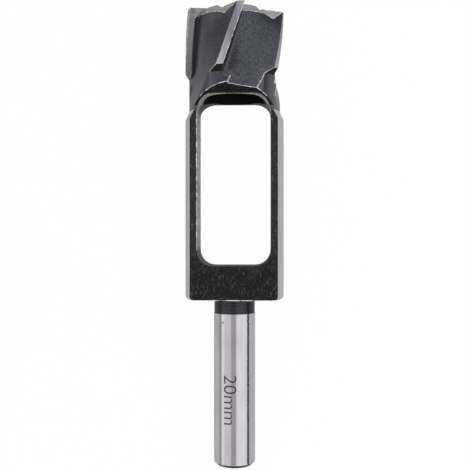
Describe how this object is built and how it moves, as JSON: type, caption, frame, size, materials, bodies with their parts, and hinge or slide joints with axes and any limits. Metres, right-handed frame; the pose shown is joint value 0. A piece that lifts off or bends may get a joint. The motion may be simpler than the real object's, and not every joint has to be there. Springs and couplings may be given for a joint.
{
  "type": "dowel cutter",
  "caption": "Hollow end cutter with helical wings round a bore, a long windowed body with two flats, and a round shank.",
  "frame": {"origin": "centre of the flat end of the shank", "axes": "+Y along the tool's axis towards the teeth, +Z out of the upper flat, which is the one that the picture shows, and +X across the flats to the right in the picture"},
  "size_m": [0.031, 0.1422, 0.0303],
  "materials": {
    "tool_steel": "black oxide with ground lands, shank, body sides and edges"
  },
  "bodies": {
    "root": {"dowel_cutter": "tool_steel"}
  },
  "joints": []
}
